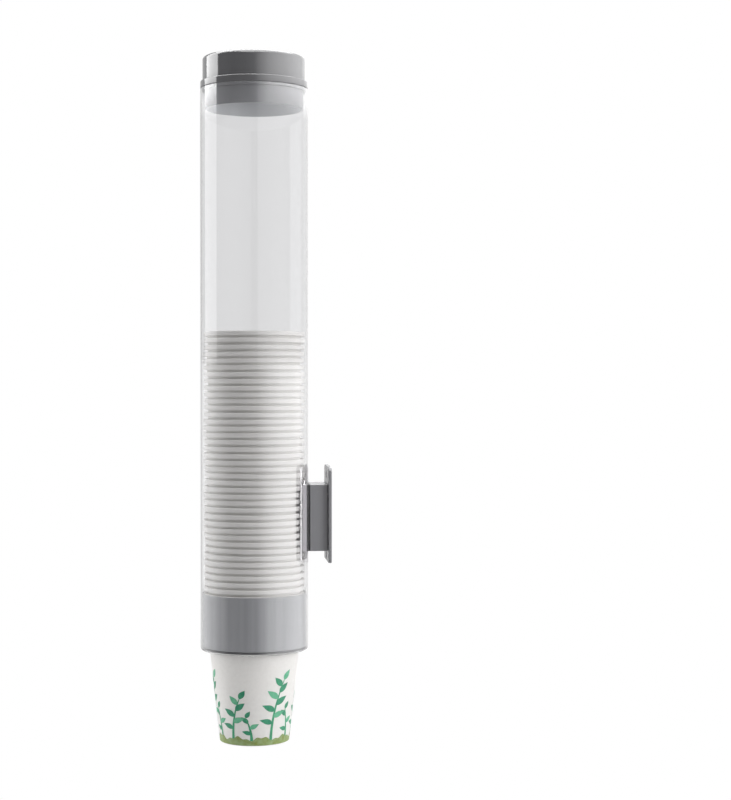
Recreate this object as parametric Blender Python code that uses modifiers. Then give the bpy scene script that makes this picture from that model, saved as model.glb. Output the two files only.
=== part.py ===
# Wall-mounted paper cup dispenser: a clear tube that hangs on a wall bracket, a stack of nested cups
# in it, and the lowest cup held by flexible fingers in the collar at its foot, ready to be pulled.
# Metres, +Z up. The origin is the middle of the wall plate's back face and the wall is at +X.

import math

import bmesh
import bpy
from mathutils import Matrix

# Clearances
seat_gap = 0.0003  # between pieces that rest on each other
cup_clearance = 0.0007  # between a cup's rim and the collar
cup_nest_gap = 0.0001  # least gap between the walls of nested cups
hook_clearance = 0.0004  # between the hooks and the tube
block_to_tube = 0.0006
cut_overrun = 0.004  # how far a cutter reaches past what it cuts
merge_distance = 0.00001

# Paper cup
cup_rim_diameter = 0.075
cup_taper = 0.0119  # how much smaller the foot's radius is than the rim's
cup_height = 0.086
cup_wall = 0.0003
cup_floor_recess = 0.0043  # from the foot of the skirt up to the floor
cup_floor_thickness = 0.00036
cup_rim_width = 0.00315  # how far the rolled rim stands out from the wall
cup_rim_height = 0.003
cup_rim_top_width = 0.0024
cup_rim_crown = 0.0002
cup_rim_side_drop = 0.0017
cups_in_stack = 44
cup_segments = 18

# Tube
tube_wall = 0.0008
tube_below_plate = 0.1009  # from the plate's middle down to the tube's foot
refill_room = 0.1652  # from the top cup up to the lid's plug
tube_lip_thickness = 0.0012
tube_foot_radius = 0.0009
tube_rim_chamfer = 0.0003
tube_segments = 48
arc_points = 5

# Collar and its ring of fingers
collar_wall = 0.0007
collar_height = 0.0395
collar_chamfer = 0.00035
petal_root_thickness = 0.0012
petal_web = 0.0012  # from the root up to the slots between the fingers
petal_rise = 0.012
petal_thickness = 0.0007
petal_grip = 0.0006  # from a finger's tip to the cup's wall
petal_slot_width = 0.0022
petal_count = 12

# Lid
lid_height = 0.0234  # above the tube's rim
lid_flange_height = 0.0052
lid_step = 0.0016  # how far the flange stands out from the body
lid_flare_height = 0.0028
lid_top_radius = 0.0024
lid_crown = 0.0006
lid_plug_depth = 0.0152
lid_plug_gap = 0.0028
lid_plug_wall = 0.0016
lid_shoulder_depth = 0.002
lid_top_thickness = 0.002

# Wall plate
plate_thickness = 0.0024
plate_top_margin = 0.0134  # from the block's top to the plate's
plate_bottom_margin = 0.009
plate_side_margin = 0.004
plate_corner_radius = 0.004
plate_edge_bevel = 0.0007
plate_hole_diameter = 0.004
plate_countersink_diameter = 0.0068

# Hanger block with its two hooks
block_height = 0.049
block_depth = 0.0129
block_side_margin = 0.0008  # from a hook's arm to the block's side
hook_half_width = 0.021
hook_reach = 0.0038  # how far a hook's tip stands out from its arm
hook_arm_width = 0.0032
hook_root = 0.00084  # thickness of the hook beside its arm

# Screws between the plate and the block
screw_spacing = 0.028
screw_head_diameter = 0.0056
screw_head_height = 0.0014
screw_shank_diameter = 0.003
screw_tip_diameter = 0.001
screw_length = 0.0095
screw_tip_room = 0.001
driver_slot_length = 0.0037
driver_slot_width = 0.0007
driver_slot_depth = 0.0006
screw_segments = 20

# Rails on the tube's back
rail_wall = 0.002
rail_lip_thickness = 0.0009
rail_stop_thickness = 0.003
rail_stop_inset = 0.0003
rail_above_stop = 0.0101
rail_below_block = 0.0075

sharp_angle = math.radians(35)
right_angle = math.radians(90)

# Radii about the tube's axis, from the cup outwards
rim_radius = cup_rim_diameter / 2
collar_bore = rim_radius + cup_clearance
collar_radius = collar_bore + collar_wall
tube_bore = collar_radius + seat_gap
tube_radius = tube_bore + tube_wall

# Depths from the tube's axis to the wall
block_front = tube_radius + block_to_tube
block_back = block_front + block_depth
plate_front = block_back + seat_gap
axis_to_wall = plate_front + plate_thickness

# Heights, with the plate's middle at 0
plate_height = plate_bottom_margin + block_height + plate_top_margin
block_bottom = plate_bottom_margin - plate_height / 2
block_top = block_bottom + block_height
block_middle = (block_bottom + block_top) / 2
screw_heights = (block_middle + screw_spacing / 2, block_middle - screw_spacing / 2)
plate_hole_heights = (block_top + plate_top_margin / 2, block_bottom - plate_bottom_margin / 2)
rail_bottom = block_bottom - rail_below_block
stop_bottom = block_top + seat_gap
stop_top = stop_bottom + rail_stop_thickness
rail_top = stop_top + rail_above_stop
tube_foot = -tube_below_plate
petal_root_bottom = tube_foot + tube_lip_thickness + seat_gap
petal_root_top = petal_root_bottom + petal_root_thickness
petal_tip = petal_root_top + petal_rise
collar_bottom = petal_root_top + seat_gap

# A cup goes down until it stands on the floor of the cup below, or until its wall wedges there.
cup_wall_height = cup_height - cup_rim_height
cup_foot_radius = rim_radius - cup_taper
cup_slope_share = (cup_taper - cup_rim_width) / cup_wall_height
cup_floor_top = cup_floor_recess + cup_floor_thickness
cup_pitch = max(cup_floor_top + seat_gap, (cup_wall + cup_nest_gap) / cup_slope_share)
lowest_cup_foot = petal_tip + seat_gap - cup_wall_height
stack_top = lowest_cup_foot + cup_pitch * cups_in_stack + cup_height
lid_seat = stack_top + refill_room + lid_plug_depth
tube_length = lid_seat - seat_gap - tube_foot

# The hooks and the rails that they stand in, as distances from the tube's axis
arm_outer = hook_half_width - hook_reach
arm_inner = arm_outer - hook_arm_width
block_half_width = arm_outer + block_side_margin
plate_width = (block_half_width + plate_side_margin) * 2
hook_arc = tube_radius + hook_clearance
hook_plane = math.sqrt(hook_arc**2 - arm_outer**2) + hook_root
rail_arc = tube_radius + seat_gap
rail_lip_inner = hook_plane + seat_gap
rail_lip_outer = rail_lip_inner + rail_lip_thickness
rail_lip_edge = arm_outer + seat_gap
rail_wall_inner = hook_half_width + seat_gap
rail_wall_outer = rail_wall_inner + rail_wall


def material(name, colour, roughness, alpha=1.0, metallic=0.0):
    made = bpy.data.materials.new(name)
    made.use_nodes = True
    shader = made.node_tree.nodes["Principled BSDF"]
    shader.inputs["Base Color"].default_value = (*colour, 1.0)
    shader.inputs["Roughness"].default_value = roughness
    shader.inputs["Metallic"].default_value = metallic
    shader.inputs["Alpha"].default_value = alpha
    return made


def body(name, x, z=0.0):
    """An empty that carries the pieces of one moving body."""
    empty = bpy.data.objects.new(name, None)
    parts.objects.link(empty)
    empty.location = (x, 0, z)
    return empty


def placed(name, mesh, parent, collection=None):
    obj = bpy.data.objects.new(name, mesh)
    (collection or parts).objects.link(obj)
    obj.parent = parent
    return obj


def evaluated_mesh(obj):
    bpy.context.view_layer.update()
    return bpy.data.meshes.new_from_object(obj.evaluated_get(bpy.context.evaluated_depsgraph_get()))


def mesh_from(made, name):
    mesh = bpy.data.meshes.new(name)
    made.to_mesh(mesh)
    made.free()
    return mesh


def turned(name, profile, segments, finish, parent, closed=False):
    """A profile of (radius, height) points turned about the object's Z axis."""
    mesh = bpy.data.meshes.new(name)
    edges = [(i, i + 1) for i in range(len(profile) - 1)]
    if closed:
        edges.append((len(profile) - 1, 0))
    mesh.from_pydata([(r, 0, z) for r, z in profile], edges, [])
    mesh.materials.append(finish)
    obj = placed(name, mesh, parent)
    screw = obj.modifiers.new("Turn", "SCREW")
    screw.steps = screw.render_steps = segments
    screw.use_merge_vertices = True
    screw.merge_threshold = merge_distance
    obj.data = evaluated_mesh(obj)
    obj.modifiers.clear()
    obj.data.shade_smooth()
    obj.data.set_sharp_from_angle(angle=sharp_angle)
    return obj


def extruded(name, outline, low, high, parent, collection=None, finish=None):
    """A flat outline of (x, y) points extruded from one height to another, as a closed mesh."""
    curve = bpy.data.curves.new(name, "CURVE")
    curve.dimensions = "2D"
    curve.fill_mode = "BOTH"
    curve.extrude = (high - low) / 2
    spline = curve.splines.new("POLY")
    spline.points.add(len(outline) - 1)
    for point, (x, y) in zip(spline.points, outline):
        point.co = (x, y, 0, 1)
    spline.use_cyclic_u = True
    guide = placed(name + "_outline", curve, None)
    mesh = evaluated_mesh(guide)
    bpy.data.objects.remove(guide)
    made = bmesh.new()
    made.from_mesh(mesh)
    bmesh.ops.remove_doubles(made, verts=made.verts, dist=merge_distance)
    bmesh.ops.recalc_face_normals(made, faces=made.faces)
    made.to_mesh(mesh)
    made.free()
    mesh.materials.clear()
    if finish:
        mesh.materials.append(finish)
    obj = placed(name, mesh, parent, collection)
    obj.location.z = (low + high) / 2
    return obj


def cone_cutter(name, x, z, radius, length, end_radius=None):
    """A round cutter of the bracket, along +X from x, that may widen or narrow to end_radius."""
    made = bmesh.new()
    bmesh.ops.create_cone(
        made,
        cap_ends=True,
        segments=screw_segments,
        radius1=radius,
        radius2=radius if end_radius is None else end_radius,
        depth=length,
    )
    along_x = Matrix.Rotation(right_angle, 4, "Y") @ Matrix.Translation((0, 0, length / 2))
    bmesh.ops.transform(made, matrix=along_x, verts=made.verts)
    obj = placed(name, mesh_from(made, name), bracket_body, cutters)
    obj.location = (x, 0, z)
    return obj


def boolean(obj, other, operation="DIFFERENCE"):
    other.hide_render = True
    other.display_type = "WIRE"
    cut = obj.modifiers.new(other.name, "BOOLEAN")
    cut.operation = operation
    cut.solver = "EXACT"
    cut.object = other


def arc(centre_radius, centre_height, radius, start, end):
    """Points of a profile along an arc, with angles in degrees from the horizontal."""
    turns = [math.radians(start + (end - start) * i / (arc_points - 1)) for i in range(arc_points)]
    return [(centre_radius + radius * math.cos(t), centre_height + radius * math.sin(t)) for t in turns]


def round_outline(radius, start_y, end_y):
    """Points of an outline along a circle about the tube's axis, from one Y to another."""
    steps = [start_y + (end_y - start_y) * i / (arc_points - 1) for i in range(arc_points)]
    return [(math.sqrt(radius**2 - y**2), y) for y in steps]


def cup_wall_radius(height):
    """The outside of a cup's wall at this height above its foot."""
    return cup_foot_radius + cup_slope_share * height


def make_cups():
    rim_inner = cup_wall_radius(cup_height) - cup_wall
    skirt = cup_wall * 2  # the wall's foot is folded round the floor's edge
    profile = [
        (0, cup_floor_top),
        (cup_wall_radius(cup_floor_top) - cup_wall, cup_floor_top),
        (rim_inner, cup_height),
        (rim_inner + cup_rim_top_width, cup_height - cup_rim_crown),
        (rim_radius, cup_height - cup_rim_side_drop),
        (cup_wall_radius(cup_wall_height), cup_wall_height),
        (cup_foot_radius, 0),
        (cup_foot_radius - skirt, 0),
        (cup_wall_radius(cup_floor_recess) - skirt, cup_floor_recess),
        (0, cup_floor_recess),
    ]
    pulled = turned("cup_pull", profile, cup_segments, paper, pulled_body)
    for number in range(1, cups_in_stack + 1):
        cup = placed(f"cup_{number:02d}", pulled.data, stack_body)
        cup.location.z = cup_pitch * number


def make_tube():
    profile = [
        (tube_bore, tube_length - tube_rim_chamfer),
        (tube_bore + tube_rim_chamfer, tube_length),
        (tube_radius - tube_rim_chamfer, tube_length),
        (tube_radius, tube_length - tube_rim_chamfer),
        *arc(tube_radius - tube_foot_radius, tube_foot_radius, tube_foot_radius, 0, -90),
        (collar_bore, 0),
        (collar_bore, tube_lip_thickness),
        (tube_bore, tube_lip_thickness),
    ]
    tube = turned("tube", profile, tube_segments, clear_plastic, holder_body, closed=True)
    tube.location.z = tube_foot


def make_collar():
    profile = [
        (collar_bore, collar_height),
        (collar_radius - collar_chamfer, collar_height),
        (collar_radius, collar_height - collar_chamfer),
        (collar_radius, 0),
        (collar_bore, 0),
    ]
    collar = turned("collar", profile, tube_segments, grey_plastic, holder_body, closed=True)
    collar.location.z = collar_bottom


def make_petal_ring():
    ring_height = petal_root_thickness + petal_rise
    tip_inner = cup_wall_radius(cup_wall_height) + petal_grip
    profile = [
        (tip_inner, ring_height),
        (tip_inner + petal_thickness, ring_height),
        (collar_bore, petal_root_thickness),
        (collar_radius, petal_root_thickness),
        (collar_radius, 0),
        (collar_bore, 0),
        (collar_bore - petal_thickness, petal_root_thickness),
    ]
    ring = turned("petal_ring", profile, tube_segments, elastomer, holder_body, closed=True)
    ring.location.z = petal_root_bottom

    made = bmesh.new()
    slot_size = (petal_thickness + cut_overrun * 2, petal_slot_width, ring_height)
    slot_middle = petal_root_thickness + petal_web + ring_height / 2
    for number in range(petal_count):
        slot = bmesh.ops.create_cube(made, size=1.0)["verts"]
        bmesh.ops.scale(made, vec=slot_size, verts=slot)
        turn = Matrix.Rotation(math.tau * number / petal_count, 4, "Z")
        bmesh.ops.transform(made, matrix=turn @ Matrix.Translation((tip_inner, 0, slot_middle)), verts=slot)
    slots = placed("petal_slots", mesh_from(made, "petal_slots"), holder_body, cutters)
    slots.location.z = petal_root_bottom
    boolean(ring, slots)


def make_lid():
    body_radius = tube_radius - lid_step
    shoulder = tube_bore - seat_gap
    plug = tube_bore - lid_plug_gap
    plug_bore = plug - lid_plug_wall
    flare_top = lid_flange_height + lid_flare_height
    profile = [
        (0, lid_height + lid_crown),
        *arc(body_radius - lid_top_radius, lid_height - lid_top_radius, lid_top_radius, 90, 0),
        (body_radius, flare_top),
        (body_radius + lid_step / 4, lid_flange_height + lid_flare_height / 3),
        (tube_radius, lid_flange_height),
        (tube_radius, 0),
        (shoulder, 0),
        (shoulder, -lid_shoulder_depth),
        (plug, -lid_shoulder_depth),
        (plug, -lid_plug_depth),
        (plug_bore, -lid_plug_depth),
        (plug_bore, lid_height - lid_top_thickness),
        (0, lid_height - lid_top_thickness),
    ]
    lid = turned("lid", profile, tube_segments, grey_plastic, lid_body)
    lid.location.z = lid_seat


def make_rail(name, side):
    wall_middle = (rail_wall_inner + rail_wall_outer) / 2
    lip_middle = (rail_lip_inner + rail_lip_outer) / 2
    stop_edge = rail_lip_edge + rail_stop_inset
    rail_outline = [
        (rail_lip_inner, rail_wall_inner),
        (rail_lip_inner, rail_lip_edge),
        (rail_lip_outer, rail_lip_edge),
        (rail_lip_outer, rail_wall_outer),
        *round_outline(rail_arc, rail_wall_outer, rail_wall_inner),
    ]
    stop_outline = [
        *round_outline(rail_arc + rail_stop_inset, wall_middle, stop_edge),
        (lip_middle, stop_edge),
        (lip_middle, wall_middle),
    ]
    rail_outline = [(x, y * side) for x, y in rail_outline]
    stop_outline = [(x, y * side) for x, y in stop_outline]
    rail = extruded(name, rail_outline, rail_bottom, rail_top, holder_body, finish=clear_plastic)
    stop = extruded(name + "_stop", stop_outline, stop_bottom, stop_top, holder_body, cutters)
    boolean(rail, stop, "UNION")


def make_hanger_block():
    half = [
        (block_front, arm_inner),
        *round_outline(hook_arc, arm_inner, hook_half_width),
        (hook_plane, hook_half_width),
        (hook_plane, arm_outer),
        (block_front, arm_outer),
        (block_front, block_half_width),
        (block_back, block_half_width),
    ]
    outline = half + [(x, -y) for x, y in reversed(half)]
    block = extruded("hanger_block", outline, block_bottom, block_top, bracket_body, finish=grey_plastic)
    hole_radius = screw_shank_diameter / 2 + seat_gap
    hole_depth = screw_length + screw_tip_room - plate_thickness
    for height in screw_heights:
        hole = cone_cutter("block_hole", block_back - hole_depth, height, hole_radius, hole_depth + cut_overrun)
        boolean(block, hole)


def make_wall_plate():
    made = bmesh.new()
    bmesh.ops.create_cube(made, size=1.0)
    bmesh.ops.scale(made, vec=(plate_thickness, plate_width, plate_height), verts=made.verts)
    corners = [e for e in made.edges if e.verts[0].co.x * e.verts[1].co.x < 0]
    bmesh.ops.bevel(made, geom=corners, offset=plate_corner_radius, segments=5, profile=0.5, affect="EDGES")
    front = [e for e in made.edges if max(v.co.x for v in e.verts) < 0 and e.calc_face_angle() > sharp_angle]
    bmesh.ops.bevel(made, geom=front, offset=plate_edge_bevel, segments=2, profile=0.5, affect="EDGES")
    plate = placed("wall_plate", mesh_from(made, "wall_plate"), bracket_body)
    plate.data.materials.append(grey_plastic)
    plate.location.x = plate_front + plate_thickness / 2

    # Each cone is carried past the face at its own slope, so its rim on the face keeps its size.
    before = plate_front - cut_overrun
    through = plate_thickness + cut_overrun * 2
    hole_radius = plate_hole_diameter / 2
    sink_radius = plate_countersink_diameter / 2
    sink_reach = sink_radius - hole_radius + cut_overrun
    for height in plate_hole_heights:
        boolean(plate, cone_cutter("plate_hole", before, height, hole_radius, through))
        sink = cone_cutter("plate_sink", before, height, sink_radius + cut_overrun, sink_reach, hole_radius)
        boolean(plate, sink)

    shank_radius = screw_shank_diameter / 2 + seat_gap
    head_radius = screw_head_diameter / 2 + seat_gap
    seat_depth = screw_head_height + seat_gap
    seat_slope_share = (head_radius - shank_radius) / screw_head_height
    seat_end = head_radius + cut_overrun * seat_slope_share
    seat_start = shank_radius - seat_gap * seat_slope_share
    for height in screw_heights:
        boolean(plate, cone_cutter("screw_hole", before, height, shank_radius, through))
        seat = cone_cutter(
            "screw_seat", axis_to_wall - seat_depth, height, seat_start, seat_depth + cut_overrun, seat_end
        )
        boolean(plate, seat)


def make_block_screws():
    shank = screw_shank_diameter / 2
    head = screw_head_diameter / 2
    profile = [
        (0, 0),
        (head, 0),
        (shank, -screw_head_height),
        (shank, shank - screw_length),
        (screw_tip_diameter / 2, -screw_length),
        (0, -screw_length),
    ]
    for name, height in zip(("block_screw_upper", "block_screw_lower"), screw_heights):
        screw = turned(name, profile, screw_segments, zinc, bracket_body)
        screw.rotation_euler.y = right_angle
        screw.location = (axis_to_wall - seat_gap, 0, height)
        for turn in (0, right_angle):
            made = bmesh.new()
            bmesh.ops.create_cube(made, size=1.0)
            slot_size = (driver_slot_depth * 2, driver_slot_length, driver_slot_width)
            bmesh.ops.scale(made, vec=slot_size, verts=made.verts)
            slot = placed("driver_slot", mesh_from(made, "driver_slot"), bracket_body, cutters)
            slot.location = screw.location
            slot.rotation_euler.x = turn
            boolean(screw, slot)


for old in list(bpy.data.objects):
    bpy.data.objects.remove(old)

parts = bpy.data.collections.new("cup_dispenser")
cutters = bpy.data.collections.new("cutters")
bpy.context.scene.collection.children.link(parts)
bpy.context.scene.collection.children.link(cutters)

grey_plastic = material("grey_plastic", (0.27, 0.275, 0.295), 0.32)
clear_plastic = material("clear_plastic", (0.86, 0.87, 0.89), 0.08, alpha=0.28)
elastomer = material("dark_elastomer", (0.045, 0.045, 0.048), 0.55)
paper = material("white_paper", (0.86, 0.85, 0.83), 0.75)
zinc = material("zinc_steel", (0.7, 0.7, 0.68), 0.35, metallic=1.0)

bracket_body = body("bracket", -axis_to_wall)
holder_body = body("holder", -axis_to_wall)
lid_body = body("lid_slide", -axis_to_wall)
stack_body = body("stack_slide", -axis_to_wall, lowest_cup_foot)
pulled_body = body("cup_slide", -axis_to_wall, lowest_cup_foot)

make_wall_plate()
make_hanger_block()
make_block_screws()
make_tube()
make_rail("rail_left", -1)
make_rail("rail_right", 1)
make_collar()
make_petal_ring()
make_lid()
make_cups()
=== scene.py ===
import math
import random

import bmesh
import bpy
from mathutils import Matrix, Vector


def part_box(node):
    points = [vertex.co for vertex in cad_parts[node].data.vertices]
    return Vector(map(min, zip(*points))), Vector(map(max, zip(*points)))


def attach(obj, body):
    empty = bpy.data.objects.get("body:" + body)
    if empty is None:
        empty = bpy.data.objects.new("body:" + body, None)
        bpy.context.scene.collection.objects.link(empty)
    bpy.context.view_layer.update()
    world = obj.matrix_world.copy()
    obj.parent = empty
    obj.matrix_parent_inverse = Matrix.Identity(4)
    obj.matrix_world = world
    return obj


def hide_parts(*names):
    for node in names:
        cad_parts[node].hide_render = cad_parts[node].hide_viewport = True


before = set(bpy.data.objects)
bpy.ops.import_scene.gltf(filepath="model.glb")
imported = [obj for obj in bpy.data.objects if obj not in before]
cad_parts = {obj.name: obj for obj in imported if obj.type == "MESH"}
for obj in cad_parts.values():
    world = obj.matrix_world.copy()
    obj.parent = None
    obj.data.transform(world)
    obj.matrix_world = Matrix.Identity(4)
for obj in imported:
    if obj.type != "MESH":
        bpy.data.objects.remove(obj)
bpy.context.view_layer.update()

random.seed(7)
mergeDistance = 0.000002
sharpAngle = math.radians(32)
flatAngle = math.radians(1)  # triangles that meet under it are one flat
roundingSegments = 6
edgeSegments = 2
fullTurn = math.tau
noiseSpan = (0.3, 0.7)  # where a noise's values mostly lie

tubeLow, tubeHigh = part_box("tube")
collarLow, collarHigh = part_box("collar")
lidLow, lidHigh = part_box("lid")
cupLow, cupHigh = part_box("cup_pull")
nextCupLow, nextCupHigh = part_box("cup_01")
tubeRadius = (tubeHigh.x - tubeLow.x) / 2
axisX = (tubeHigh.x + tubeLow.x) / 2
cupPitch = nextCupLow.z - cupLow.z
stackedCups = sorted(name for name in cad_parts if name.startswith("cup_") and name != "cup_pull")


# Materials. Every pattern reads Object coordinates, because the pieces' places are in their meshes.
def startMaterial(name, colour, roughness):
    made = bpy.data.materials.new(name)
    made.use_nodes = True
    shader = made.node_tree.nodes["Principled BSDF"]
    shader.inputs["Base Color"].default_value = (*colour, 1)
    shader.inputs["Roughness"].default_value = roughness
    return made, made.node_tree, shader


def addNoise(tree, scale, detail=3.0, stretch=(1, 1, 1)):
    place = tree.nodes.new("ShaderNodeTexCoord")
    mapping = tree.nodes.new("ShaderNodeMapping")
    noise = tree.nodes.new("ShaderNodeTexNoise")
    mapping.inputs["Scale"].default_value = stretch
    noise.inputs["Scale"].default_value = scale
    noise.inputs["Detail"].default_value = detail
    tree.links.new(place.outputs["Object"], mapping.inputs["Vector"])
    tree.links.new(mapping.outputs["Vector"], noise.inputs["Vector"])
    return noise.outputs["Fac"]


def addRange(tree, source, low, high, target):
    spread = tree.nodes.new("ShaderNodeMapRange")
    spread.inputs["From Min"].default_value = noiseSpan[0]
    spread.inputs["From Max"].default_value = noiseSpan[1]
    spread.inputs["To Min"].default_value = low
    spread.inputs["To Max"].default_value = high
    tree.links.new(source, spread.inputs["Value"])
    tree.links.new(spread.outputs["Result"], target)


def addTint(tree, source, dark, light, target):
    ramp = tree.nodes.new("ShaderNodeValToRGB")
    ramp.color_ramp.elements[0].position = noiseSpan[0]
    ramp.color_ramp.elements[1].position = noiseSpan[1]
    ramp.color_ramp.elements[0].color = (*dark, 1)
    ramp.color_ramp.elements[1].color = (*light, 1)
    tree.links.new(source, ramp.inputs["Fac"])
    tree.links.new(ramp.outputs["Color"], target)


def addBump(tree, source, depth, shader):
    bump = tree.nodes.new("ShaderNodeBump")
    bump.inputs["Distance"].default_value = depth
    tree.links.new(source, bump.inputs["Height"])
    tree.links.new(bump.outputs["Normal"], shader.inputs["Normal"])


mouldedSettings = {
    "tintScale": 60,
    "shineScale": 240,
    "smoothest": 0.85,  # shares of the roughness
    "roughest": 1.25,
    "grainScale": 900,
    "grainDepth": 0.000008,
}


def makeMouldedGrey(name, dark, light, roughness, streaks):
    made, tree, shader = startMaterial(name, dark, roughness)
    tint = addNoise(tree, mouldedSettings["tintScale"], stretch=streaks)
    addTint(tree, tint, dark, light, shader.inputs["Base Color"])
    low, high = roughness * mouldedSettings["smoothest"], roughness * mouldedSettings["roughest"]
    addRange(tree, addNoise(tree, mouldedSettings["shineScale"]), low, high, shader.inputs["Roughness"])
    addBump(tree, addNoise(tree, mouldedSettings["grainScale"]), mouldedSettings["grainDepth"], shader)
    return made


clearSettings = {
    "refraction": 1.49,
    "waveScale": 35,
    "waveStretch": (1, 1, 0.15),
    "passing": (0.99, 0.99, 0.995),
}


def makeClearPlastic(name, colour, smoothest, roughest):
    made, tree, shader = startMaterial(name, colour, roughest)
    shader.inputs["Transmission Weight"].default_value = 1.0
    shader.inputs["IOR"].default_value = clearSettings["refraction"]
    waves = addNoise(tree, clearSettings["waveScale"], stretch=clearSettings["waveStretch"])
    addRange(tree, waves, smoothest, roughest, shader.inputs["Roughness"])
    # The lamps' light and the light between pieces go straight through, as through a thin clear wall.
    path = tree.nodes.new("ShaderNodeLightPath")
    passing = tree.nodes.new("ShaderNodeBsdfTransparent")
    passing.inputs["Color"].default_value = (*clearSettings["passing"], 1)
    seen = shader.outputs["BSDF"]
    for ray in ("Is Shadow Ray", "Is Diffuse Ray"):
        choice = tree.nodes.new("ShaderNodeMixShader")
        tree.links.new(path.outputs[ray], choice.inputs["Fac"])
        tree.links.new(seen, choice.inputs[1])
        tree.links.new(passing.outputs["BSDF"], choice.inputs[2])
        seen = choice.outputs["Shader"]
    tree.links.new(seen, tree.nodes["Material Output"].inputs["Surface"])
    return made


paperSettings = {
    "plain": (0.86, 0.85, 0.83),
    "dark": (0.825, 0.81, 0.788),
    "light": (0.865, 0.85, 0.83),
    "fibreScale": 420,
    "fibreDetail": 6,
    "roughness": 0.55,
    "shineScale": 300,
    "smoothest": 0.48,
    "roughest": 0.62,
    "grainScale": 1500,
    "grainDetail": 4,
    "grainDepth": 0.00002,
}


def addPaperGrain(tree, shader):
    grain = addNoise(tree, paperSettings["grainScale"], detail=paperSettings["grainDetail"])
    addBump(tree, grain, paperSettings["grainDepth"], shader)


def makePaper():
    made, tree, shader = startMaterial("cupPaper", paperSettings["plain"], paperSettings["roughness"])
    fibres = addNoise(tree, paperSettings["fibreScale"], detail=paperSettings["fibreDetail"])
    addTint(tree, fibres, paperSettings["dark"], paperSettings["light"], shader.inputs["Base Color"])
    low, high = paperSettings["smoothest"], paperSettings["roughest"]
    addRange(tree, addNoise(tree, paperSettings["shineScale"]), low, high, shader.inputs["Roughness"])
    addPaperGrain(tree, shader)
    return made


inkSettings = {"roughness": 0.5, "tintScale": 260, "tintDetail": 4}


def makePrintInk(name, dark, light):
    made, tree, shader = startMaterial(name, dark, inkSettings["roughness"])
    tint = addNoise(tree, inkSettings["tintScale"], detail=inkSettings["tintDetail"])
    addTint(tree, tint, dark, light, shader.inputs["Base Color"])
    addPaperGrain(tree, shader)
    return made


rubberSettings = {
    "plain": (0.03, 0.03, 0.032),
    "dark": (0.024, 0.024, 0.026),
    "light": (0.04, 0.04, 0.043),
    "tintScale": 180,
    "roughness": 0.55,
    "grainScale": 1100,
    "grainDepth": 0.00002,
}


def makeRubber():
    made, tree, shader = startMaterial("fingerRubber", rubberSettings["plain"], rubberSettings["roughness"])
    tint = addNoise(tree, rubberSettings["tintScale"])
    addTint(tree, tint, rubberSettings["dark"], rubberSettings["light"], shader.inputs["Base Color"])
    addBump(tree, addNoise(tree, rubberSettings["grainScale"]), rubberSettings["grainDepth"], shader)
    return made


zincSettings = {
    "plain": (0.68, 0.68, 0.66),
    "dark": (0.6, 0.6, 0.57),
    "light": (0.74, 0.74, 0.73),
    "tintScale": 300,
    "roughness": 0.3,
    "shineScale": 700,
    "smoothest": 0.24,
    "roughest": 0.42,
}


def makeZincSteel():
    made, tree, shader = startMaterial("zincSteel", zincSettings["plain"], zincSettings["roughness"])
    shader.inputs["Metallic"].default_value = 1.0
    tint = addNoise(tree, zincSettings["tintScale"])
    addTint(tree, tint, zincSettings["dark"], zincSettings["light"], shader.inputs["Base Color"])
    low, high = zincSettings["smoothest"], zincSettings["roughest"]
    addRange(tree, addNoise(tree, zincSettings["shineScale"]), low, high, shader.inputs["Roughness"])
    return made


lidStreaks, collarStreaks = (1, 1, 0.4), (3, 3, 0.05)
ringStreaks, bracketStreaks = (3, 3, 0.1), (4, 4, 0.1)
lidGrey = makeMouldedGrey("lidGrey", (0.143, 0.143, 0.15), (0.162, 0.162, 0.17), 0.06, lidStreaks)
plugGrey = makeMouldedGrey("plugGrey", (0.31, 0.312, 0.324), (0.34, 0.342, 0.355), 0.3, lidStreaks)
plugGrey.node_tree.nodes["Principled BSDF"].inputs["Specular IOR Level"].default_value = 0.1  # matt
# The plug's inside is painted far lighter than the cap's plastic: painted light, standing in for the light
# that reaches up into the hollow.
plugInsidePaintedLow, plugInsidePaintedHigh = (0.77, 0.78, 0.795), (0.81, 0.82, 0.835)
plugInsidePaintedLight = makeMouldedGrey("plugInsidePaintedLight", plugInsidePaintedLow, plugInsidePaintedHigh, 0.35, lidStreaks)
collarGrey = makeMouldedGrey("collarGrey", (0.35, 0.355, 0.37), (0.42, 0.425, 0.44), 0.2, collarStreaks)
ringGrey = makeMouldedGrey("ringGrey", (0.1, 0.1, 0.104), (0.12, 0.12, 0.125), 0.35, ringStreaks)
bracketGrey = makeMouldedGrey("bracketGrey", (0.28, 0.28, 0.295), (0.31, 0.31, 0.325), 0.22, bracketStreaks)
# The arms between the block and the hooks are painted near black: painted shade for the dark slit beside
# the tube.
armPaintedShade = makeMouldedGrey("armPaintedShade", (0.02, 0.021, 0.021), (0.03, 0.031, 0.031), 0.4, bracketStreaks)
# The hooks are painted a pale grey: painted light on the bracket's own plastic, so the strip beside the
# tube looks bright.
hookPaintedLight = makeMouldedGrey("hookPaintedLight", (0.6, 0.585, 0.61), (0.66, 0.645, 0.67), 0.4, bracketStreaks)
clearPlastic = makeClearPlastic("clearPlastic", (0.87, 0.87, 0.875), 0.005, 0.03)
railPlastic = makeClearPlastic("railPlastic", (0.97, 0.96, 0.97), 0.03, 0.08)
weldedPlastic = makeClearPlastic("weldedPlastic", (0.72, 0.705, 0.72), 0.45, 0.6)
cupPaper = makePaper()
leafGreen = makePrintInk("leafGreen", (0.02, 0.2, 0.11), (0.05, 0.3, 0.16))
youngLeafGreen = makePrintInk("youngLeafGreen", (0.09, 0.38, 0.22), (0.17, 0.5, 0.31))
stemGreen = makePrintInk("stemGreen", (0.035, 0.24, 0.12), (0.07, 0.36, 0.19))
groundOlive = makePrintInk("groundOlive", (0.2, 0.25, 0.05), (0.3, 0.4, 0.2))
fingerRubber = makeRubber()
zincSteel = makeZincSteel()
print("Materials made")


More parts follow.
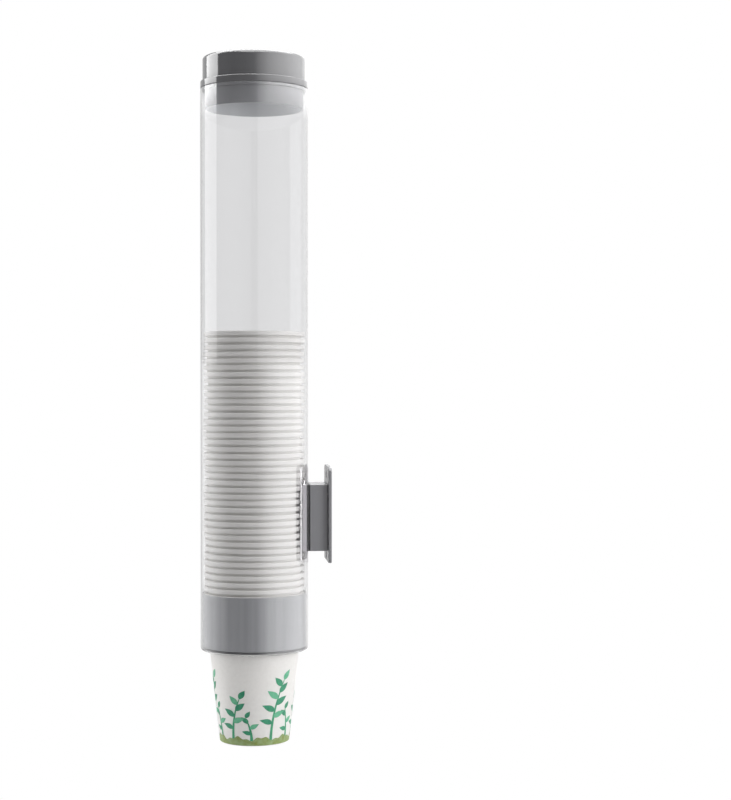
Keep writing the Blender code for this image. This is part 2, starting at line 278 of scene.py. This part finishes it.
# Making and placing pieces
def turnMesh(corners, steps, closed):
    # Each corner is a radius, a height and the size of its rounding. It turns about the Z axis.
    bm = bmesh.new()
    verts = [bm.verts.new((radius, 0, height)) for radius, height, rounding in corners]
    for first, second in zip(verts, verts[1:] + (verts[:1] if closed else [])):
        bm.edges.new((first, second))
    for vert, (radius, height, rounding) in zip(verts, corners):
        if rounding:
            bmesh.ops.bevel(
                bm,
                geom=[vert],
                offset=rounding,
                segments=roundingSegments,
                profile=0.5,
                affect="VERTICES",
                material=-1,
            )
    bmesh.ops.spin(
        bm,
        geom=bm.verts[:] + bm.edges[:],
        cent=(0, 0, 0),
        axis=(0, 0, 1),
        angle=fullTurn,
        steps=steps,
        use_merge=True,
    )
    bmesh.ops.remove_doubles(bm, verts=bm.verts, dist=mergeDistance)
    bmesh.ops.recalc_face_normals(bm, faces=bm.faces)
    return bm


def finishPiece(name, bm, materials, body, replaced):
    mesh = bpy.data.meshes.new(name)
    bm.to_mesh(mesh)
    bm.free()
    for material in materials:
        mesh.materials.append(material)
    mesh.shade_smooth()
    mesh.set_sharp_from_angle(angle=sharpAngle)
    piece = bpy.data.objects.new(name, mesh)
    bpy.context.scene.collection.objects.link(piece)
    flats = piece.modifiers.new("flatWalls", "WEIGHTED_NORMAL")  # walls stay flat beside rounded edges
    flats.keep_sharp = True
    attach(piece, body)
    if replaced:
        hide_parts(*replaced)
    return piece


def dressNode(node, name, materials, body, rounding, steps=()):
    # A finer copy of a node: its triangles are merged into flats, and its edges are rounded. Faces with
    # an x under the first step take the second material, under the next one the third.
    bm = bmesh.new()
    bm.from_mesh(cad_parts[node].data)
    bmesh.ops.remove_doubles(bm, verts=bm.verts, dist=mergeDistance)
    bmesh.ops.dissolve_limit(bm, angle_limit=flatAngle, verts=bm.verts, edges=bm.edges, delimit={"NORMAL"})
    edges = [edge for edge in bm.edges if len(edge.link_faces) == 2 and edge.calc_face_angle() > sharpAngle]
    bmesh.ops.bevel(
        bm,
        geom=edges,
        offset=rounding,
        segments=edgeSegments,
        profile=0.5,
        affect="EDGES",
        material=-1,
        clamp_overlap=True,
    )
    for step in steps:
        bmesh.ops.bisect_plane(
            bm,
            geom=bm.verts[:] + bm.edges[:] + bm.faces[:],
            dist=mergeDistance,
            plane_co=(step, 0, 0),
            plane_no=(1, 0, 0),
        )
    for face in bm.faces:
        face.material_index = sum(face.calc_center_median().x < step for step in steps)
    return finishPiece(name, bm, materials, body, [node])


# Tube: a clear moulded shell with a lip turned in at its foot
collarSettings = {"wall": 0.0007, "rounding": 0.00022, "steps": 128}
tubeSettings = {
    "wall": 0.0008,
    "lipThickness": 0.0012,
    "footRounding": 0.002,
    "lipRounding": 0.0003,
    "rimRounding": 0.0001,
    "steps": 160,
}
tubeBore = tubeRadius - tubeSettings["wall"]
lipBore = collarHigh.x - axisX - collarSettings["wall"]
lipTop = tubeLow.z + tubeSettings["lipThickness"]
bm = turnMesh(
    [
        (tubeBore, tubeHigh.z, tubeSettings["rimRounding"]),
        (tubeRadius, tubeHigh.z, tubeSettings["rimRounding"]),
        (tubeRadius, tubeLow.z, tubeSettings["footRounding"]),
        (lipBore, tubeLow.z, tubeSettings["lipRounding"]),
        (lipBore, lipTop, tubeSettings["lipRounding"]),
        (tubeBore, lipTop, 0),
    ],
    tubeSettings["steps"],
    True,
)
bmesh.ops.translate(bm, vec=(axisX, 0, 0), verts=bm.verts)
finishPiece("clearTube", bm, [clearPlastic], "holder", ["tube"])
print("Tube made")

# Collar: the grey sleeve that stands on the finger ring inside the tube's foot
collarRadius = collarHigh.x - axisX
bm = turnMesh(
    [
        (collarRadius - collarSettings["wall"], collarHigh.z, collarSettings["rounding"]),
        (collarRadius, collarHigh.z, collarSettings["rounding"]),
        (collarRadius, collarLow.z, 0),
        (collarRadius - collarSettings["wall"], collarLow.z, 0),
    ],
    collarSettings["steps"],
    True,
)
bmesh.ops.translate(bm, vec=(axisX, 0, 0), verts=bm.verts)
finishPiece("collarSleeve", bm, [collarGrey], "holder", ["collar"])

# Lid: a stepped cap with a hollow plug
lidSettings = {
    "seat": 0.0003,  # from the tube's rim up to the flange
    "flangeHeight": 0.0052,
    "step": 0.0016,
    "topRounding": 0.0026,
    "crown": 0.0006,
    "shoulderDepth": 0.002,
    "plugGap": 0.0028,
    "plugWall": 0.0016,
    "topThickness": 0.002,
    "flangeRounding": 0.0007,
    "shoulderRounding": 0.0003,
    "plugRounding": 0.0004,
    "ceilingRounding": 0.001,
    "steps": 160,
}
lidSeat = tubeHigh.z + lidSettings["seat"]
lidEdge = lidHigh.z - lidSettings["crown"]
lidBody = tubeRadius - lidSettings["step"]
lidFlange = lidSeat + lidSettings["flangeHeight"]
lidShoulder = tubeBore - lidSettings["seat"]
plugRadius = tubeBore - lidSettings["plugGap"]
plugBore = plugRadius - lidSettings["plugWall"]
plugTop = lidSeat - lidSettings["shoulderDepth"]
lidCeiling = lidEdge - lidSettings["topThickness"]
bm = turnMesh(
    [
        (0, lidHigh.z, 0),
        (lidBody / 2, lidHigh.z - lidSettings["crown"] / 4, 0),
        (lidBody, lidEdge, lidSettings["topRounding"]),
        (lidBody, lidFlange, 0),
        (tubeRadius, lidFlange, lidSettings["flangeRounding"]),
        (tubeRadius, lidSeat, lidSettings["shoulderRounding"]),
        (lidShoulder, lidSeat, 0),
        (lidShoulder, plugTop, lidSettings["shoulderRounding"]),
        (plugRadius, plugTop, 0),
        (plugRadius, lidLow.z, lidSettings["plugRounding"]),
        (plugBore, lidLow.z, lidSettings["plugRounding"]),
        (plugBore, lidCeiling, lidSettings["ceilingRounding"]),
        (0, lidCeiling, 0),
    ],
    lidSettings["steps"],
    False,
)
for face in bm.faces:  # the plug's outside takes a lighter grey than the cap, and its inside a far lighter one, painted light for the light that reaches into the hollow
    middle = face.calc_center_median()
    away = math.hypot(middle.x, middle.y)
    if away < (plugRadius + plugBore) / 2 and middle.z < (lidEdge + lidCeiling) / 2:
        face.material_index = 2
    elif away < tubeBore and middle.z < lidFlange:
        face.material_index = 1
bmesh.ops.translate(bm, vec=(axisX, 0, 0), verts=bm.verts)
finishPiece("lidCap", bm, [lidGrey, plugGrey, plugInsidePaintedLight], "lid", ["lid"])
print("Collar and lid made")

# Paper cups
cupSettings = {
    "taper": 0.0119,  # how much smaller the foot's radius is than the rim's
    "wall": 0.0003,
    "curlWidth": 0.0026,
    "curlHeight": 0.00325,
    "curlRounding": 0.0008,
    "curlFootRounding": 0.00035,
    "floorRecess": 0.0043,
    "floorThickness": 0.00036,
    "floorRounding": 0.0004,
    "skirt": 0.0006,
    "skirtRounding": 0.0002,
    "seamWidth": 0.006,
    "seamHeight": 0.00012,
    "steps": 96,
    "tilt": math.radians(0.5),  # how much the loosest cups lean
    "straightCups": 4,  # the cups that the collar holds upright
    "tiltGrowth": 4,  # the full lean is reached at this part of the stack
    "tiltStep": 0.9,  # from cup to cup, as an angle of the lean's swing
    "turnStep": 0.35,  # from cup to cup, as a turn of the side it leans to
}
rimRadius = (cupHigh.x - cupLow.x) / 2
cupHeight = cupHigh.z - cupLow.z
footRadius = rimRadius - cupSettings["taper"]
wallHeight = cupHeight - cupSettings["curlHeight"]
wallSlope = (cupSettings["taper"] - cupSettings["curlWidth"]) / wallHeight


def cupWall(height):
    return footRadius + wallSlope * height


def makeCup(name, node, foot, body, seamAngle, lean):
    wall = cupSettings["wall"]
    floorTop = cupSettings["floorRecess"] + cupSettings["floorThickness"]
    curl = cupSettings["curlRounding"]
    recess = cupSettings["floorRecess"]
    fold = cupSettings["skirtRounding"]
    bm = turnMesh(
        [
            (0, floorTop, 0),
            (cupWall(floorTop) - wall, floorTop, cupSettings["floorRounding"]),
            (cupWall(cupHeight) - wall, cupHeight, curl),
            (rimRadius, cupHeight, curl),
            (rimRadius, wallHeight, cupSettings["curlFootRounding"]),
            (cupWall(wallHeight), wallHeight, 0),
            (footRadius, 0, fold),
            (footRadius - cupSettings["skirt"], 0, fold),
            (cupWall(recess) - cupSettings["skirt"], recess, 0),
            (0, recess, 0),
        ],
        cupSettings["steps"],
        False,
    )
    # The side seam is a strip of the wall that stands a little proud. The wall's faces reach from the foot
    # to the rim, so their middles lie half-way up.
    halfSeam = cupSettings["seamWidth"] / 2 / cupWall(wallHeight / 2)
    seam = []
    for face in bm.faces:
        middle = face.calc_center_median()
        onWall = abs(math.hypot(middle.x, middle.y) - cupWall(middle.z)) < wall / 3
        away = (math.atan2(middle.y, middle.x) - seamAngle + math.pi) % fullTurn - math.pi
        if onWall and wallHeight / 3 < middle.z < wallHeight * 2 / 3 and abs(away) < halfSeam:
            seam.append(face)
    proud = cupSettings["seamHeight"]
    bmesh.ops.inset_region(bm, faces=seam, thickness=proud, depth=proud, use_even_offset=True)
    bmesh.ops.transform(bm, matrix=Matrix.Translation((axisX, 0, foot)) @ lean, verts=bm.verts)
    finishPiece(name, bm, [cupPaper], body, [node])


frontAngle = -math.pi / 2
makeCup("paperCupPull", "cup_pull", cupLow.z, "cup", -frontAngle, Matrix.Identity(4))
for number, node in enumerate(stackedCups, start=1):
    share = max(0, number - cupSettings["straightCups"]) / len(stackedCups)
    lean = cupSettings["tilt"] * min(1, share * cupSettings["tiltGrowth"])
    lean *= math.sin(number * cupSettings["tiltStep"])
    turn = Matrix.Rotation(number * cupSettings["turnStep"], 4, "Z")
    leaning = turn @ Matrix.Rotation(lean, 4, "X") @ turn.inverted()
    seamAngle = random.uniform(-math.pi, math.pi)
    makeCup(f"paperCup{number:02d}", node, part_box(node)[0].z, "stack", seamAngle, leaning)
print("Cups made:", len(stackedCups) + 1)

# The cups' printed foliage: thin patches of ink, drawn flat in millimetres along and up the wall
printSettings = {
    "inkHeight": 0.00015,  # clear of the cup's side seam
    "sprigs": (
        {"at": -17, "height": 31, "bend": 6, "leaves": 6, "leafLength": 11, "leafWidth": 5.2},
        {"at": -3, "height": 17, "bend": -4, "leaves": 4, "leafLength": 8.5, "leafWidth": 4.2},
        {"at": 11, "height": 44, "bend": 8, "leaves": 8, "leafLength": 12, "leafWidth": 5.4},
        {"at": 25, "height": 22, "bend": -3, "leaves": 4, "leafLength": 9, "leafWidth": 4.4},
    ),
    "stemWidth": 2.2,
    "stemTaper": 0.7,
    "rootDepth": 1.5,  # how far the stems go into the ground
    "firstLeaf": 0.28,  # share of the stem under the first leaf
    "lowestLift": 15,  # degrees
    "addedLift": 50,
    "widestLeaf": 0.6,
    "leafShrink": 0.35,
    "leafShape": 0.8,
    "leafDroop": 0.2,
    "groundHeight": 5.5,
    "groundWave": 1.1,
    "longWaves": 9,
    "shortWaves": 23,
    "shortWave": 0.6,  # its height as a share of the long one's
    "groundStart": 0.4,
    "repeats": 3,
    "leafGrid": (10, 3),
    "stemGrid": (14, 1),
    "groundGrid": (240, 2),
}
millimetre = 0.001


def wrapOnCup(bm):
    # x is millimetres along the wall at its foot, y millimetres up
    for vert in bm.verts:
        height = vert.co.y * millimetre
        angle = frontAngle + vert.co.x * millimetre / footRadius
        radius = cupWall(height) + printSettings["inkHeight"]
        vert.co = (radius * math.cos(angle), radius * math.sin(angle), height)


def addPatch(bm, columnsAndRows, place, material):
    # A grid from -1 to 1 both ways, moved point by point to its place on the flat drawing
    columns, rows = columnsAndRows
    grid = bmesh.ops.create_grid(bm, x_segments=columns, y_segments=rows, size=1)["verts"]
    for vert in grid:
        vert.co = place(vert.co.x, vert.co.y)
    for face in {face for vert in grid for face in vert.link_faces}:
        face.material_index = material


def addLeaf(bm, root, direction, length, width, material):
    ahead = Vector((math.cos(direction), math.sin(direction), 0))
    side = Vector((-ahead.y, ahead.x, 0))

    def place(x, y):
        along = (x + 1) / 2
        half = width / 2 * math.sin(math.pi * along ** printSettings["leafShape"]) * (1 - along / 3)
        droop = -length * printSettings["leafDroop"] * along * along
        return root + ahead * length * along + side * y * half + Vector((0, droop, 0))

    addPatch(bm, printSettings["leafGrid"], place, material)


def addSprig(bm, shift, sprig):
    ground = printSettings["groundHeight"] - printSettings["rootDepth"]
    thick = printSettings["stemWidth"] / 2

    def stemPoint(share):
        x = shift + sprig["at"] + sprig["bend"] * share * share
        return Vector((x, ground + sprig["height"] * share, 0))

    def place(x, y):
        share = (x + 1) / 2
        return stemPoint(share) + Vector((y * thick * (1 - printSettings["stemTaper"] * share), 0, 0))

    addPatch(bm, printSettings["stemGrid"], place, 2)
    first = printSettings["firstLeaf"]
    for number in range(sprig["leaves"]):
        share = first + (1 - first) * number / (sprig["leaves"] - 1)
        side = 1 if number % 2 else -1
        lift = math.radians(printSettings["lowestLift"] + printSettings["addedLift"] * share)
        direction = lift if side > 0 else math.pi - lift
        size = 1 - printSettings["leafShrink"] * abs(share - printSettings["widestLeaf"])
        length, width = sprig["leafLength"] * size, sprig["leafWidth"] * size
        addLeaf(bm, stemPoint(share), direction, length, width, 1 if number % 3 == 1 else 0)


def makePrint(name, foot, body):
    bm = bmesh.new()
    around = fullTurn * footRadius / millimetre
    for repeat in range(printSettings["repeats"]):
        for sprig in printSettings["sprigs"]:
            addSprig(bm, around * repeat / printSettings["repeats"], sprig)

    def ground(x, y):
        wave = math.sin(x * math.pi * printSettings["longWaves"])
        wave += printSettings["shortWave"] * math.sin(x * math.pi * printSettings["shortWaves"] + 1)
        top = printSettings["groundHeight"] + printSettings["groundWave"] * wave
        share = (y + 1) / 2
        return Vector((x * around / 2, printSettings["groundStart"] * (1 - share) + top * share, 0))

    addPatch(bm, printSettings["groundGrid"], ground, 3)
    wrapOnCup(bm)
    bmesh.ops.remove_doubles(bm, verts=bm.verts, dist=mergeDistance)
    for face in bm.faces:
        face.normal_update()
        middle = face.calc_center_median()
        if face.normal.x * middle.x + face.normal.y * middle.y < 0:
            face.normal_flip()
    bmesh.ops.translate(bm, vec=(axisX, 0, foot), verts=bm.verts)
    finishPiece(name, bm, [leafGreen, youngLeafGreen, stemGreen, groundOlive], body, [])


makePrint("foliagePrintPull", cupLow.z, "cup")
makePrint("foliagePrint01", nextCupLow.z, "stack")
print("Foliage prints made")

# Finger ring, rails and bracket: finer copies of their nodes
ringSettings = {"rounding": 0.00008, "rimWidth": 1.5}  # the rim's width in collar walls
ringLook = [fingerRubber, ringGrey]
ringRounding = ringSettings["rounding"]
fingerRing = dressNode("petal_ring", "fingerRing", ringLook, "holder", ringRounding)
ringRim = collarRadius - collarSettings["wall"] * ringSettings["rimWidth"]
for polygon in fingerRing.data.polygons:  # the rim that the collar stands on is grey
    polygon.material_index = int(math.hypot(polygon.center.x - axisX, polygon.center.y) > ringRim)

railSettings = {"rounding": 0.0001, "weldDepth": 0.0014}
railLook = [railPlastic, weldedPlastic]
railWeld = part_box("rail_left")[0].x + railSettings["weldDepth"]  # frosted up to here
for node, name in (("rail_left", "railLeft"), ("rail_right", "railRight")):
    dressNode(node, name, railLook, "holder", railSettings["rounding"], [railWeld])

# Faces over armDepth in front of the block's face are painted near black, as painted shade for the slit.
blockSettings = {"rounding": 0.0002, "depth": 0.013, "armDepth": 0.0026}
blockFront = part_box("hanger_block")[1].x - blockSettings["depth"]
# The hooks, nearer the tube than the arms, are painted pale as painted light.
blockSteps = (blockFront, blockFront - blockSettings["armDepth"])
blockLook = [bracketGrey, armPaintedShade, hookPaintedLight]
blockRounding = blockSettings["rounding"]
dressNode("hanger_block", "hangerBlock", blockLook, "bracket", blockRounding, blockSteps)

plateSettings = {"rounding": 0.00012}
plateRounding = plateSettings["rounding"]
dressNode("wall_plate", "wallPlate", [bracketGrey], "bracket", plateRounding)

screwSettings = {"rounding": 0.00006}
screwRounding = screwSettings["rounding"]
for node, name in (("block_screw_upper", "blockScrewUpper"), ("block_screw_lower", "blockScrewLower")):
    dressNode(node, name, [zincSteel], "bracket", screwRounding)
print("Finger ring, rails and bracket made")

# Floor: a plain pale round floor under the object
floorSettings = {"drop": 0.32, "radius": 0.4, "steps": 96, "colour": (0.82, 0.82, 0.82), "roughness": 0.7}
bm = bmesh.new()
bmesh.ops.create_circle(bm, cap_ends=True, segments=floorSettings["steps"], radius=floorSettings["radius"])
bmesh.ops.translate(bm, vec=(axisX, 0, -floorSettings["drop"]), verts=bm.verts)
floorMesh = bpy.data.meshes.new("paleFloor")
bm.to_mesh(floorMesh)
bm.free()
floorMaterial = startMaterial("paleFloor", floorSettings["colour"], floorSettings["roughness"])[0]
floorMesh.materials.append(floorMaterial)
paleFloor = bpy.data.objects.new("paleFloor", floorMesh)
bpy.context.scene.collection.objects.link(paleFloor)

# Camera: at the photograph's eye height, turned a little to the bracket's side
cameraSettings = {
    "distance": 1.33,
    "turn": math.radians(2),
    "eyeHeight": 0.1034,
    "pictureWidth": 731,
    "pictureHeight": 800,
    "axisColumn": 254.3,
    "eyeRow": 375,
    "metresPerPixel": 0.000747,
    "sensor": 36,
}
distance = cameraSettings["distance"]
turn = cameraSettings["turn"]
pixel = cameraSettings["metresPerPixel"]
aside = (cameraSettings["pictureWidth"] / 2 - cameraSettings["axisColumn"]) * pixel
below = (cameraSettings["pictureHeight"] / 2 - cameraSettings["eyeRow"]) * pixel
camera = bpy.data.cameras.new("photoCamera")
camera.sensor_width = cameraSettings["sensor"]
camera.lens = cameraSettings["sensor"] * distance / (cameraSettings["pictureHeight"] * pixel)
photoCamera = bpy.data.objects.new("photoCamera", camera)
bpy.context.scene.collection.objects.link(photoCamera)
photoCamera.location = (
    axisX - distance * math.sin(turn),
    -distance * math.cos(turn),
    cameraSettings["eyeHeight"],
)
photoCamera.rotation_euler = (
    math.pi / 2 - math.atan(below / distance),
    0,
    -turn - math.atan(aside / distance),
)
bpy.context.scene.camera = photoCamera
bpy.context.scene.view_settings.view_transform = "Standard"

# Lamps. Angles are seen from above, from the camera's side of the object to the right. They give the
# plain light, and gloss sees the world's soft boxes instead.
lampSettings = {
    "leftLamp": {"angle": -96, "distance": 0.8, "low": -0.5, "high": 0.75, "width": 0.9, "radiance": 1.6},
    "rightLamp": {"angle": 63, "distance": 1.1, "low": -0.25, "high": 1.15, "width": 1.0, "radiance": 2.9},
    "frontLamp": {"angle": 12, "distance": 1.3, "low": -0.4, "high": 1.0, "width": 0.7, "radiance": 1.0},
}


def addLamp(name, width, length, radiance, place, towards):
    light = bpy.data.lights.new(name, "AREA")
    light.shape = "RECTANGLE"
    light.size = width
    light.size_y = length
    light.energy = radiance * math.pi * width * length
    lamp = bpy.data.objects.new(name, light)
    bpy.context.scene.collection.objects.link(lamp)
    lamp.location = place
    lamp.rotation_euler = towards.to_track_quat("Z", "Y").to_euler()
    lamp.visible_camera = False
    lamp.visible_transmission = False
    lamp.visible_glossy = False


for name, lamp in lampSettings.items():
    angle = math.radians(lamp["angle"]) - turn
    towards = Vector((math.sin(angle), -math.cos(angle), 0))
    place = Vector((axisX, 0, (lamp["low"] + lamp["high"]) / 2)) + towards * lamp["distance"]
    addLamp(name, lamp["width"], lamp["high"] - lamp["low"], lamp["radiance"], place, towards)
topLampSettings = {"height": 1.5, "width": 1.1, "radiance": 1.5}
topWidth = topLampSettings["width"]
topPlace = Vector((axisX, 0, topLampSettings["height"]))
addLamp("topLamp", topWidth, topWidth, topLampSettings["radiance"], topPlace, Vector((0, 0, 1)))

# World: white where it is seen, straight or through the clear plastic. Gloss sees a studio in it:
# a soft box at the left, a broad one at the right, one above the front, white behind and a dark room
# in front. Stops are an angle to the right of the camera's side and a radiance.
worldSettings = {
    "frontFill": 0.08,
    "backFill": 0.7,
    "fillRise": (-0.2, 0.8),
    "brightest": 9.0,
    "upperStops": (
        (-180, 1.6), (-158, 0.8), (-140, 1.1), (-131, 1), (-130, 7.5), (-88, 9), (-87, 0.2), (0, 0.1),
        (4, 0.45), (8, 1), (13, 1.6), (22, 2.4), (31, 3.5), (60, 5.2), (88, 5.8), (116, 4.4), (133, 2.6),
        (135, 3), (150, 2.2), (180, 1.6),
    ),
    "middleStops": (
        (-180, 0.8), (-131, 0.6), (-130, 1.4), (-88, 1.4), (-87, 0.1), (6, 0.1), (9, 0.7),
        (60, 1.1), (120, 1), (180, 0.95),
    ),
    "lowerStops": (
        (-180, 0.75), (-150, 0.8), (-130, 1.2), (-100, 1.2), (-60, 0.25), (-40, 0.1), (6, 0.1),
        (30, 1.4), (60, 2.3), (110, 2.2), (130, 1.1), (180, 0.9),
    ),
    "lowerRise": (0.0035, 0.0094),  # the direction's height where the middle stops take over
    "upperRise": (0.1415, 0.1665),
    "overhead": (0, -0.62, 0.78),
    "overheadRise": (0.82, 0.88),
    "ceilingRise": (0.62, 0.72),
}
world = bpy.data.worlds.new("studio")
bpy.context.scene.world = world
world.use_nodes = True
worldTree = world.node_tree


def addMath(operation, first, second):
    node = worldTree.nodes.new("ShaderNodeMath")
    node.operation = operation
    for socket, value in zip(node.inputs, (first, second)):
        if isinstance(value, float):
            socket.default_value = value
        else:
            worldTree.links.new(value, socket)
    return node.outputs["Value"]


def addMix(factor, first, second):
    node = worldTree.nodes.new("ShaderNodeMix")
    worldTree.links.new(factor, node.inputs["Factor"])
    for name, value in (("A", first), ("B", second)):
        if isinstance(value, float):
            node.inputs[name].default_value = value
        else:
            worldTree.links.new(value, node.inputs[name])
    return node.outputs["Result"]


def addRise(source, fromLow, fromHigh, low=0.0, high=1.0):
    node = worldTree.nodes.new("ShaderNodeMapRange")
    worldTree.links.new(source, node.inputs["Value"])
    node.inputs["From Min"].default_value = fromLow
    node.inputs["From Max"].default_value = fromHigh
    node.inputs["To Min"].default_value = low
    node.inputs["To Max"].default_value = high
    return node.outputs["Result"]


def addStops(around, stops):
    ramp = worldTree.nodes.new("ShaderNodeValToRGB")
    elements = ramp.color_ramp.elements
    while len(elements) < len(stops):
        elements.new(0.5)
    for element, (angle, radiance) in zip(elements, stops):
        element.position = 0.5 + angle / 360
        element.color = (*[radiance / worldSettings["brightest"]] * 3, 1)
    worldTree.links.new(around, ramp.inputs["Fac"])
    return addMath("MULTIPLY", ramp.outputs["Color"], worldSettings["brightest"])


direction = worldTree.nodes.new("ShaderNodeTexCoord").outputs["Generated"]
turned = worldTree.nodes.new("ShaderNodeMapping")
turned.inputs["Rotation"].default_value = (0, 0, math.pi / 2 + turn)
worldTree.links.new(direction, turned.inputs["Vector"])
gradient = worldTree.nodes.new("ShaderNodeTexGradient")
gradient.gradient_type = "RADIAL"
worldTree.links.new(turned.outputs["Vector"], gradient.inputs["Vector"])
around = gradient.outputs["Fac"]
split = worldTree.nodes.new("ShaderNodeSeparateXYZ")
worldTree.links.new(direction, split.inputs["Vector"])
overhead = worldTree.nodes.new("ShaderNodeVectorMath")
overhead.operation = "DOT_PRODUCT"
overhead.inputs[1].default_value = worldSettings["overhead"]
worldTree.links.new(direction, overhead.inputs[0])

lower = addStops(around, worldSettings["lowerStops"])
middle = addStops(around, worldSettings["middleStops"])
upper = addStops(around, worldSettings["upperStops"])
height = split.outputs["Z"]
brightest = worldSettings["brightest"]
gloss = addMix(addRise(height, *worldSettings["lowerRise"]), lower, middle)
gloss = addMix(addRise(height, *worldSettings["upperRise"]), gloss, upper)
gloss = addMix(addRise(overhead.outputs["Value"], *worldSettings["overheadRise"]), gloss, brightest)
gloss = addMix(addRise(height, *worldSettings["ceilingRise"]), gloss, brightest)
fillFrom, fillTo = worldSettings["fillRise"]
fill = addRise(split.outputs["Y"], fillFrom, fillTo, worldSettings["frontFill"], worldSettings["backFill"])

# A sharp ray came here from the camera without a diffuse bounce.
path = worldTree.nodes.new("ShaderNodeLightPath")
direct = addMath("MAXIMUM", path.outputs["Is Camera Ray"], path.outputs["Is Glossy Ray"])
direct = addMath("MAXIMUM", direct, path.outputs["Is Transmission Ray"])
sharp = addMath("MULTIPLY", direct, addMath("LESS_THAN", path.outputs["Diffuse Depth"], 0.5))
mirrored = addMath("MINIMUM", path.outputs["Glossy Depth"], 1.0)
shown = addMix(mirrored, 1.0, gloss)
background = worldTree.nodes["Background"]
background.inputs["Color"].default_value = (1, 1, 1, 1)
worldTree.links.new(addMix(sharp, fill, shown), background.inputs["Strength"])
print("Floor, camera, lamps and world made")
